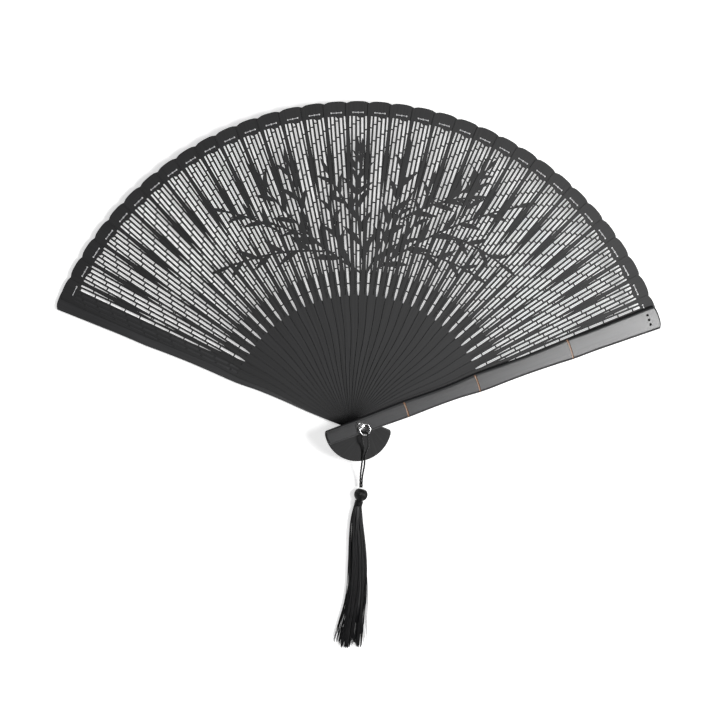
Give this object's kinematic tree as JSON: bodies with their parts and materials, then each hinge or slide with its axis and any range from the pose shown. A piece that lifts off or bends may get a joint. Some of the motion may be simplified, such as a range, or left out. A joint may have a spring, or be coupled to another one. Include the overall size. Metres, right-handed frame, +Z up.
{
  "type": "folding hand fan",
  "caption": "Folding hand fan shown open: slotted black wooden blades between two bamboo-shaped guards, riveted at the foot, with a silk tassel on a ring.",
  "frame": {"origin": "rivet axis at the table plane, which is the outer face of the rear guard", "axes": "+Z up along the rivet, +Y roughly up the middle of the open fan, +X towards the front guard, -Y down the tassel"},
  "size_m": [0.3533, 0.3205, 0.0255],
  "materials": {
    "guard_wood": "black satin lacquer with brown carved lines",
    "blade_wood": "black satin stain, fine lengthwise grain",
    "rivet_metal": "polished",
    "washer": "black paint",
    "ring_metal": "polished",
    "silk_cord": "twisted black silk",
    "silk_head": "black silk wound over a ball",
    "silk_binding": "black thread whipping",
    "silk_skirt": "loose black silk threads"
  },
  "bodies": {
    "front_guard": {"front_guard": "guard_wood", "front_washer": "washer"},
    "rear_guard": {"rear_guard": "guard_wood"},
    "blade_01": {"blade_01": "blade_wood"},
    "blade_02": {"blade_02": "blade_wood"},
    "blade_03": {"blade_03": "blade_wood"},
    "blade_04": {"blade_04": "blade_wood"},
    "blade_05": {"blade_05": "blade_wood"},
    "blade_06": {"blade_06": "blade_wood"},
    "blade_07": {"blade_07": "blade_wood"},
    "blade_08": {"blade_08": "blade_wood"},
    "blade_09": {"blade_09": "blade_wood"},
    "blade_10": {"blade_10": "blade_wood"},
    "blade_11": {"blade_11": "blade_wood"},
    "blade_12": {"blade_12": "blade_wood"},
    "blade_13": {"blade_13": "blade_wood"},
    "blade_14": {"blade_14": "blade_wood"},
    "blade_15": {"blade_15": "blade_wood"},
    "blade_16": {"blade_16": "blade_wood"},
    "blade_17": {"blade_17": "blade_wood"},
    "blade_18": {"blade_18": "blade_wood"},
    "blade_19": {"blade_19": "blade_wood"},
    "blade_20": {"blade_20": "blade_wood"},
    "blade_21": {"blade_21": "blade_wood"},
    "blade_22": {"blade_22": "blade_wood"},
    "blade_23": {"blade_23": "blade_wood"},
    "blade_24": {"blade_24": "blade_wood"},
    "blade_25": {"blade_25": "blade_wood"},
    "blade_26": {"blade_26": "blade_wood"},
    "blade_27": {"blade_27": "blade_wood"},
    "blade_28": {"blade_28": "blade_wood"},
    "blade_29": {"blade_29": "blade_wood"},
    "blade_30": {"blade_30": "blade_wood"},
    "blade_31": {"blade_31": "blade_wood"},
    "blade_32": {"blade_32": "blade_wood"},
    "blade_33": {"blade_33": "blade_wood"},
    "blade_34": {"blade_34": "blade_wood"},
    "rivet": {"rivet_pin": "rivet_metal", "rivet_eye": "rivet_metal", "jump_ring": "ring_metal", "tassel_cord": "silk_cord"},
    "tassel": {"tassel_head": "silk_head", "tassel_binding": "silk_binding", "tassel_skirt": "silk_skirt"}
  },
  "joints": [
    {"name": "fan_fold", "type": "hinge", "parent": "front_guard", "child": "rear_guard", "pos_m": [0, 0, 0], "axis": [0, 0, -1], "range_deg": [0, 137]},
    {"name": "blade_01_turn", "type": "hinge", "parent": "front_guard", "child": "blade_01", "pos_m": [0, 0, 0], "axis": [0, 0, -1], "range_deg": [0, 135.01]},
    {"name": "blade_02_turn", "type": "hinge", "parent": "front_guard", "child": "blade_02", "pos_m": [0, 0, 0], "axis": [0, 0, -1], "range_deg": [0, 130.98]},
    {"name": "blade_03_turn", "type": "hinge", "parent": "front_guard", "child": "blade_03", "pos_m": [0, 0, 0], "axis": [0, 0, -1], "range_deg": [0, 126.95]},
    {"name": "blade_04_turn", "type": "hinge", "parent": "front_guard", "child": "blade_04", "pos_m": [0, 0, 0], "axis": [0, 0, -1], "range_deg": [0, 122.92]},
    {"name": "blade_05_turn", "type": "hinge", "parent": "front_guard", "child": "blade_05", "pos_m": [0, 0, 0], "axis": [0, 0, -1], "range_deg": [0, 118.89]},
    {"name": "blade_06_turn", "type": "hinge", "parent": "front_guard", "child": "blade_06", "pos_m": [0, 0, 0], "axis": [0, 0, -1], "range_deg": [0, 114.86]},
    {"name": "blade_07_turn", "type": "hinge", "parent": "front_guard", "child": "blade_07", "pos_m": [0, 0, 0], "axis": [0, 0, -1], "range_deg": [0, 110.83]},
    {"name": "blade_08_turn", "type": "hinge", "parent": "front_guard", "child": "blade_08", "pos_m": [0, 0, 0], "axis": [0, 0, -1], "range_deg": [0, 106.8]},
    {"name": "blade_09_turn", "type": "hinge", "parent": "front_guard", "child": "blade_09", "pos_m": [0, 0, 0], "axis": [0, 0, -1], "range_deg": [0, 102.77]},
    {"name": "blade_10_turn", "type": "hinge", "parent": "front_guard", "child": "blade_10", "pos_m": [0, 0, 0], "axis": [0, 0, -1], "range_deg": [0, 98.74]},
    {"name": "blade_11_turn", "type": "hinge", "parent": "front_guard", "child": "blade_11", "pos_m": [0, 0, 0], "axis": [0, 0, -1], "range_deg": [0, 94.71]},
    {"name": "blade_12_turn", "type": "hinge", "parent": "front_guard", "child": "blade_12", "pos_m": [0, 0, 0], "axis": [0, 0, -1], "range_deg": [0, 90.68]},
    {"name": "blade_13_turn", "type": "hinge", "parent": "front_guard", "child": "blade_13", "pos_m": [0, 0, 0], "axis": [0, 0, -1], "range_deg": [0, 86.65]},
    {"name": "blade_14_turn", "type": "hinge", "parent": "front_guard", "child": "blade_14", "pos_m": [0, 0, 0], "axis": [0, 0, -1], "range_deg": [0, 82.62]},
    {"name": "blade_15_turn", "type": "hinge", "parent": "front_guard", "child": "blade_15", "pos_m": [0, 0, 0], "axis": [0, 0, -1], "range_deg": [0, 78.59]},
    {"name": "blade_16_turn", "type": "hinge", "parent": "front_guard", "child": "blade_16", "pos_m": [0, 0, 0], "axis": [0, 0, -1], "range_deg": [0, 74.56]},
    {"name": "blade_17_turn", "type": "hinge", "parent": "front_guard", "child": "blade_17", "pos_m": [0, 0, 0], "axis": [0, 0, -1], "range_deg": [0, 70.53]},
    {"name": "blade_18_turn", "type": "hinge", "parent": "front_guard", "child": "blade_18", "pos_m": [0, 0, 0], "axis": [0, 0, -1], "range_deg": [0, 66.49]},
    {"name": "blade_19_turn", "type": "hinge", "parent": "front_guard", "child": "blade_19", "pos_m": [0, 0, 0], "axis": [0, 0, -1], "range_deg": [0, 62.46]},
    {"name": "blade_20_turn", "type": "hinge", "parent": "front_guard", "child": "blade_20", "pos_m": [0, 0, 0], "axis": [0, 0, -1], "range_deg": [0, 58.43]},
    {"name": "blade_21_turn", "type": "hinge", "parent": "front_guard", "child": "blade_21", "pos_m": [0, 0, 0], "axis": [0, 0, -1], "range_deg": [0, 54.4]},
    {"name": "blade_22_turn", "type": "hinge", "parent": "front_guard", "child": "blade_22", "pos_m": [0, 0, 0], "axis": [0, 0, -1], "range_deg": [0, 50.37]},
    {"name": "blade_23_turn", "type": "hinge", "parent": "front_guard", "child": "blade_23", "pos_m": [0, 0, 0], "axis": [0, 0, -1], "range_deg": [0, 46.34]},
    {"name": "blade_24_turn", "type": "hinge", "parent": "front_guard", "child": "blade_24", "pos_m": [0, 0, 0], "axis": [0, 0, -1], "range_deg": [0, 42.31]},
    {"name": "blade_25_turn", "type": "hinge", "parent": "front_guard", "child": "blade_25", "pos_m": [0, 0, 0], "axis": [0, 0, -1], "range_deg": [0, 38.28]},
    {"name": "blade_26_turn", "type": "hinge", "parent": "front_guard", "child": "blade_26", "pos_m": [0, 0, 0], "axis": [0, 0, -1], "range_deg": [0, 34.25]},
    {"name": "blade_27_turn", "type": "hinge", "parent": "front_guard", "child": "blade_27", "pos_m": [0, 0, 0], "axis": [0, 0, -1], "range_deg": [0, 30.22]},
    {"name": "blade_28_turn", "type": "hinge", "parent": "front_guard", "child": "blade_28", "pos_m": [0, 0, 0], "axis": [0, 0, -1], "range_deg": [0, 26.19]},
    {"name": "blade_29_turn", "type": "hinge", "parent": "front_guard", "child": "blade_29", "pos_m": [0, 0, 0], "axis": [0, 0, -1], "range_deg": [0, 22.16]},
    {"name": "blade_30_turn", "type": "hinge", "parent": "front_guard", "child": "blade_30", "pos_m": [0, 0, 0], "axis": [0, 0, -1], "range_deg": [0, 18.13]},
    {"name": "blade_31_turn", "type": "hinge", "parent": "front_guard", "child": "blade_31", "pos_m": [0, 0, 0], "axis": [0, 0, -1], "range_deg": [0, 14.1]},
    {"name": "blade_32_turn", "type": "hinge", "parent": "front_guard", "child": "blade_32", "pos_m": [0, 0, 0], "axis": [0, 0, -1], "range_deg": [0, 10.07]},
    {"name": "blade_33_turn", "type": "hinge", "parent": "front_guard", "child": "blade_33", "pos_m": [0, 0, 0], "axis": [0, 0, -1], "range_deg": [0, 6.04]},
    {"name": "blade_34_turn", "type": "hinge", "parent": "front_guard", "child": "blade_34", "pos_m": [0, 0, 0], "axis": [0, 0, -1], "range_deg": [0, 2.01]},
    {"name": "rivet_swivel", "type": "hinge", "parent": "front_guard", "child": "rivet", "pos_m": [0, 0, 0], "axis": [0, 0, 1], "range_deg": [0, 45]},
    {"name": "tassel_swing", "type": "hinge", "parent": "rivet", "child": "tassel", "pos_m": [0.0027, -0.0418, 0.00405], "axis": [0, 0, 1], "range_deg": [-30, 30]}
  ],
  "couplings": [
    {"joint": "blade_01_turn", "follows": "fan_fold", "ratio": 0.9854},
    {"joint": "blade_02_turn", "follows": "fan_fold", "ratio": 0.95598},
    {"joint": "blade_03_turn", "follows": "fan_fold", "ratio": 0.92656},
    {"joint": "blade_04_turn", "follows": "fan_fold", "ratio": 0.89715},
    {"joint": "blade_05_turn", "follows": "fan_fold", "ratio": 0.86773},
    {"joint": "blade_06_turn", "follows": "fan_fold", "ratio": 0.83831},
    {"joint": "blade_07_turn", "follows": "fan_fold", "ratio": 0.80889},
    {"joint": "blade_08_turn", "follows": "fan_fold", "ratio": 0.77947},
    {"joint": "blade_09_turn", "follows": "fan_fold", "ratio": 0.75006},
    {"joint": "blade_10_turn", "follows": "fan_fold", "ratio": 0.72064},
    {"joint": "blade_11_turn", "follows": "fan_fold", "ratio": 0.69122},
    {"joint": "blade_12_turn", "follows": "fan_fold", "ratio": 0.6618},
    {"joint": "blade_13_turn", "follows": "fan_fold", "ratio": 0.63238},
    {"joint": "blade_14_turn", "follows": "fan_fold", "ratio": 0.60296},
    {"joint": "blade_15_turn", "follows": "fan_fold", "ratio": 0.57355},
    {"joint": "blade_16_turn", "follows": "fan_fold", "ratio": 0.54413},
    {"joint": "blade_17_turn", "follows": "fan_fold", "ratio": 0.51471},
    {"joint": "blade_18_turn", "follows": "fan_fold", "ratio": 0.48529},
    {"joint": "blade_19_turn", "follows": "fan_fold", "ratio": 0.45587},
    {"joint": "blade_20_turn", "follows": "fan_fold", "ratio": 0.42645},
    {"joint": "blade_21_turn", "follows": "fan_fold", "ratio": 0.39704},
    {"joint": "blade_22_turn", "follows": "fan_fold", "ratio": 0.36762},
    {"joint": "blade_23_turn", "follows": "fan_fold", "ratio": 0.3382},
    {"joint": "blade_24_turn", "follows": "fan_fold", "ratio": 0.30878},
    {"joint": "blade_25_turn", "follows": "fan_fold", "ratio": 0.27936},
    {"joint": "blade_26_turn", "follows": "fan_fold", "ratio": 0.24994},
    {"joint": "blade_27_turn", "follows": "fan_fold", "ratio": 0.22053},
    {"joint": "blade_28_turn", "follows": "fan_fold", "ratio": 0.19111},
    {"joint": "blade_29_turn", "follows": "fan_fold", "ratio": 0.16169},
    {"joint": "blade_30_turn", "follows": "fan_fold", "ratio": 0.13227},
    {"joint": "blade_31_turn", "follows": "fan_fold", "ratio": 0.10285},
    {"joint": "blade_32_turn", "follows": "fan_fold", "ratio": 0.07344},
    {"joint": "blade_33_turn", "follows": "fan_fold", "ratio": 0.04402},
    {"joint": "blade_34_turn", "follows": "fan_fold", "ratio": 0.0146}
  ]
}
